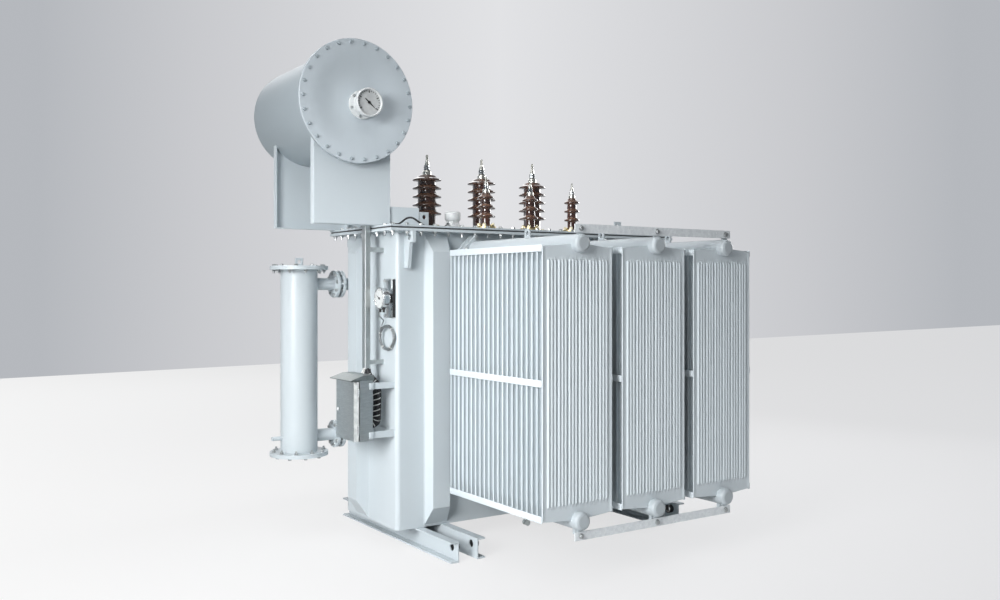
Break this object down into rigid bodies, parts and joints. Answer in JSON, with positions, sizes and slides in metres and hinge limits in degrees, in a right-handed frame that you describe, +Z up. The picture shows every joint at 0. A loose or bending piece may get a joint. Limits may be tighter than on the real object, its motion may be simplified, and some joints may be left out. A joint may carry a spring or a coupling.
{
  "type": "oil-filled power transformer",
  "caption": "Oil-filled power transformer: ribbed-panel radiators round a tall tank, porcelain bushings on the cover, a raised conservator and a side oil filter.",
  "frame": {"origin": "ground level, at the middle of the whole object's plan box", "axes": "+X along the tank away from the conservator, -Y to the three front radiators, +Z up"},
  "size_m": [3.0439, 3.282, 3.327],
  "materials": {
    "paint": "semi-gloss light grey enamel",
    "zinc": "galvanised",
    "stainless": "brushed",
    "porcelain": "glossy brown glaze",
    "passivated": "yellow passivated zinc",
    "rubber": "matt",
    "instrument": "gloss white"
  },
  "bodies": {
    "transformer": {"left_outer_rail": "paint", "left_inner_rail": "paint", "right_inner_rail": "paint", "right_outer_rail": "paint", "tank_body": "paint", "cover_gasket": "rubber", "tank_cover": "paint", "cover_lugs": "paint", "front_stiffeners": "paint", "rear_stiffeners": "paint", "end_stiffeners": "paint", "lifting_hooks": "paint", "front_left_fins": "paint", "front_left_headers": "paint", "front_middle_fins": "paint", "front_middle_headers": "paint", "front_right_fins": "paint", "front_right_headers": "paint", "rear_left_fins": "paint", "rear_left_headers": "paint", "rear_right_fins": "paint", "rear_right_headers": "paint", "front_valves": "paint", "rear_valves": "paint", "front_top_tie_bar": "zinc", "front_bottom_tie_bar": "zinc", "rear_top_tie_bar": "zinc", "rear_bottom_tie_bar": "zinc", "conservator_shell": "paint", "conservator_front_cover": "paint", "conservator_rear_end": "paint", "conservator_front_leg": "paint", "conservator_rear_leg": "paint", "oil_level_gauge": "instrument", "oil_pipe": "paint", "gas_relay": "zinc", "filter_vessel": "paint", "filter_top_cover": "paint", "filter_bottom_cover": "paint", "filter_top_pipe": "paint", "filter_bottom_pipe": "paint", "control_box_body": "stainless", "control_box_roof": "stainless", "control_box_brackets": "paint", "cable_trunking": "zinc", "cable_bundle": "rubber", "thermometer": "instrument", "capillary_coil": "zinc", "hv_porcelain": "porcelain", "hv_clamps": "passivated", "hv_terminals": "zinc", "lv_porcelain": "porcelain", "lv_clamps": "passivated", "lv_terminals": "zinc", "pressure_relief_valve": "instrument"},
    "control_box_door": {"control_box_door": "stainless"}
  },
  "joints": [
    {"name": "control_box_door_hinge", "type": "hinge", "parent": "transformer", "child": "control_box_door", "pos_m": [-1.132, -0.364, 0.9], "axis": [0, 0, 1], "range_deg": [0, 110]}
  ]
}
